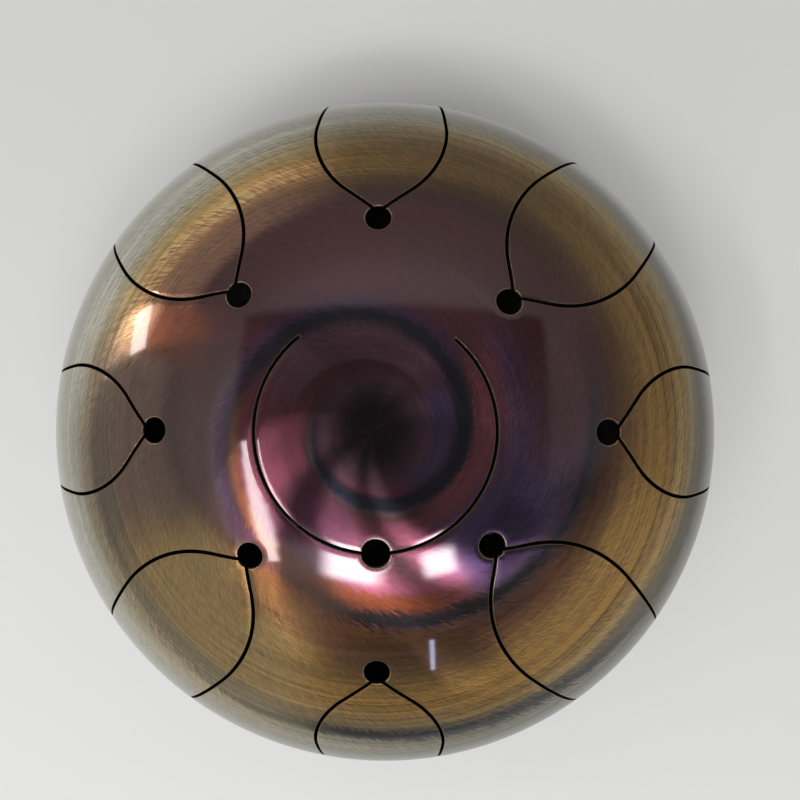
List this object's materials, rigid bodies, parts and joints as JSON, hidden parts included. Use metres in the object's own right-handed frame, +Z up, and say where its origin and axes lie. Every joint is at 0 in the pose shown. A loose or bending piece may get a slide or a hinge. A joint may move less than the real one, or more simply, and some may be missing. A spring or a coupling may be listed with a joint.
{
  "type": "steel tongue drum",
  "caption": "Lens-shaped steel drum of two welded dished shells, with sprung tongues cut round its upper shell and one in its crown, a trimmed sound port below and rubber feet.",
  "frame": {"origin": "on the floor under the feet, on the drum's axis", "axes": "+Z up along the drum's axis, -Y towards the player, +X to the player's right"},
  "size_m": [0.3304, 0.3304, 0.1702],
  "materials": {
    "tinted_steel": "brushed, heat tinted from purple at the crown through gold to grey at the rim, clear lacquer",
    "lower_steel": "brushed along circles, clear lacquer",
    "weld_steel": "dressed weld bead under the same lacquer",
    "trim_rubber": "extruded, satin",
    "foot_rubber": "moulded, matt",
    "zinc_steel": "bright zinc plate"
  },
  "bodies": {
    "drum_body": {"upper_shell": "tinted_steel", "lower_shell": "lower_steel", "seam_weld": "weld_steel", "port_trim": "trim_rubber", "foot_1": "foot_rubber", "foot_2": "foot_rubber", "foot_3": "foot_rubber", "foot_4": "foot_rubber", "foot_screws": "zinc_steel", "foot_washers": "zinc_steel", "foot_nuts": "zinc_steel"},
    "centre_tongue": {"centre_tongue": "tinted_steel"},
    "tongue_1": {"tongue_1": "tinted_steel"},
    "tongue_2": {"tongue_2": "tinted_steel"},
    "tongue_3": {"tongue_3": "tinted_steel"},
    "tongue_4": {"tongue_4": "tinted_steel"},
    "tongue_5": {"tongue_5": "tinted_steel"},
    "tongue_6": {"tongue_6": "tinted_steel"},
    "tongue_7": {"tongue_7": "tinted_steel"},
    "tongue_8": {"tongue_8": "tinted_steel"}
  },
  "joints": [
    {"name": "tongue_1_flex", "type": "hinge", "parent": "drum_body", "child": "tongue_1", "pos_m": [0.11401, -0.11126, 0.1092], "axis": [-0.6984, -0.7157, 0], "range_deg": [-1, 1], "stiffness_Nm_per_rad": 83.7},
    {"name": "tongue_2_flex", "type": "hinge", "parent": "drum_body", "child": "tongue_2", "pos_m": [-0.11323, -0.11206, 0.1092], "axis": [-0.7034, 0.7108, 0], "range_deg": [-1, 1], "stiffness_Nm_per_rad": 89.1},
    {"name": "tongue_3_flex", "type": "hinge", "parent": "drum_body", "child": "tongue_3", "pos_m": [0.1144, 0.11086, 0.1092], "axis": [0.6959, -0.7181, 0], "range_deg": [-1, 1], "stiffness_Nm_per_rad": 92.5},
    {"name": "tongue_4_flex", "type": "hinge", "parent": "drum_body", "child": "tongue_4", "pos_m": [-0.11323, 0.11206, 0.1092], "axis": [0.7034, 0.7108, 0], "range_deg": [-1, 1], "stiffness_Nm_per_rad": 96.3},
    {"name": "tongue_5_flex", "type": "hinge", "parent": "drum_body", "child": "tongue_5", "pos_m": [0.00139, 0.1593, 0.1092], "axis": [1, -0.0087, 0], "range_deg": [-1, 1], "stiffness_Nm_per_rad": 106.5},
    {"name": "tongue_6_flex", "type": "hinge", "parent": "drum_body", "child": "tongue_6", "pos_m": [-0.15931, 0.00028, 0.1092], "axis": [0.0017, 1, 0], "range_deg": [-1, 1], "stiffness_Nm_per_rad": 112.6},
    {"name": "tongue_7_flex", "type": "hinge", "parent": "drum_body", "child": "tongue_7", "pos_m": [0.1593, -0.00083, 0.1092], "axis": [-0.0052, -1, 0], "range_deg": [-1, 1], "stiffness_Nm_per_rad": 117.1},
    {"name": "tongue_8_flex", "type": "hinge", "parent": "drum_body", "child": "tongue_8", "pos_m": [0.00028, -0.15931, 0.1092], "axis": [-1, -0.0017, 0], "range_deg": [-1, 1], "stiffness_Nm_per_rad": 124.7},
    {"name": "centre_tongue_flex", "type": "hinge", "parent": "drum_body", "child": "centre_tongue", "pos_m": [0.00084, 0.03991, 0.16648], "axis": [0.9998, -0.0209, 0], "range_deg": [-1, 1], "stiffness_Nm_per_rad": 119.7}
  ]
}
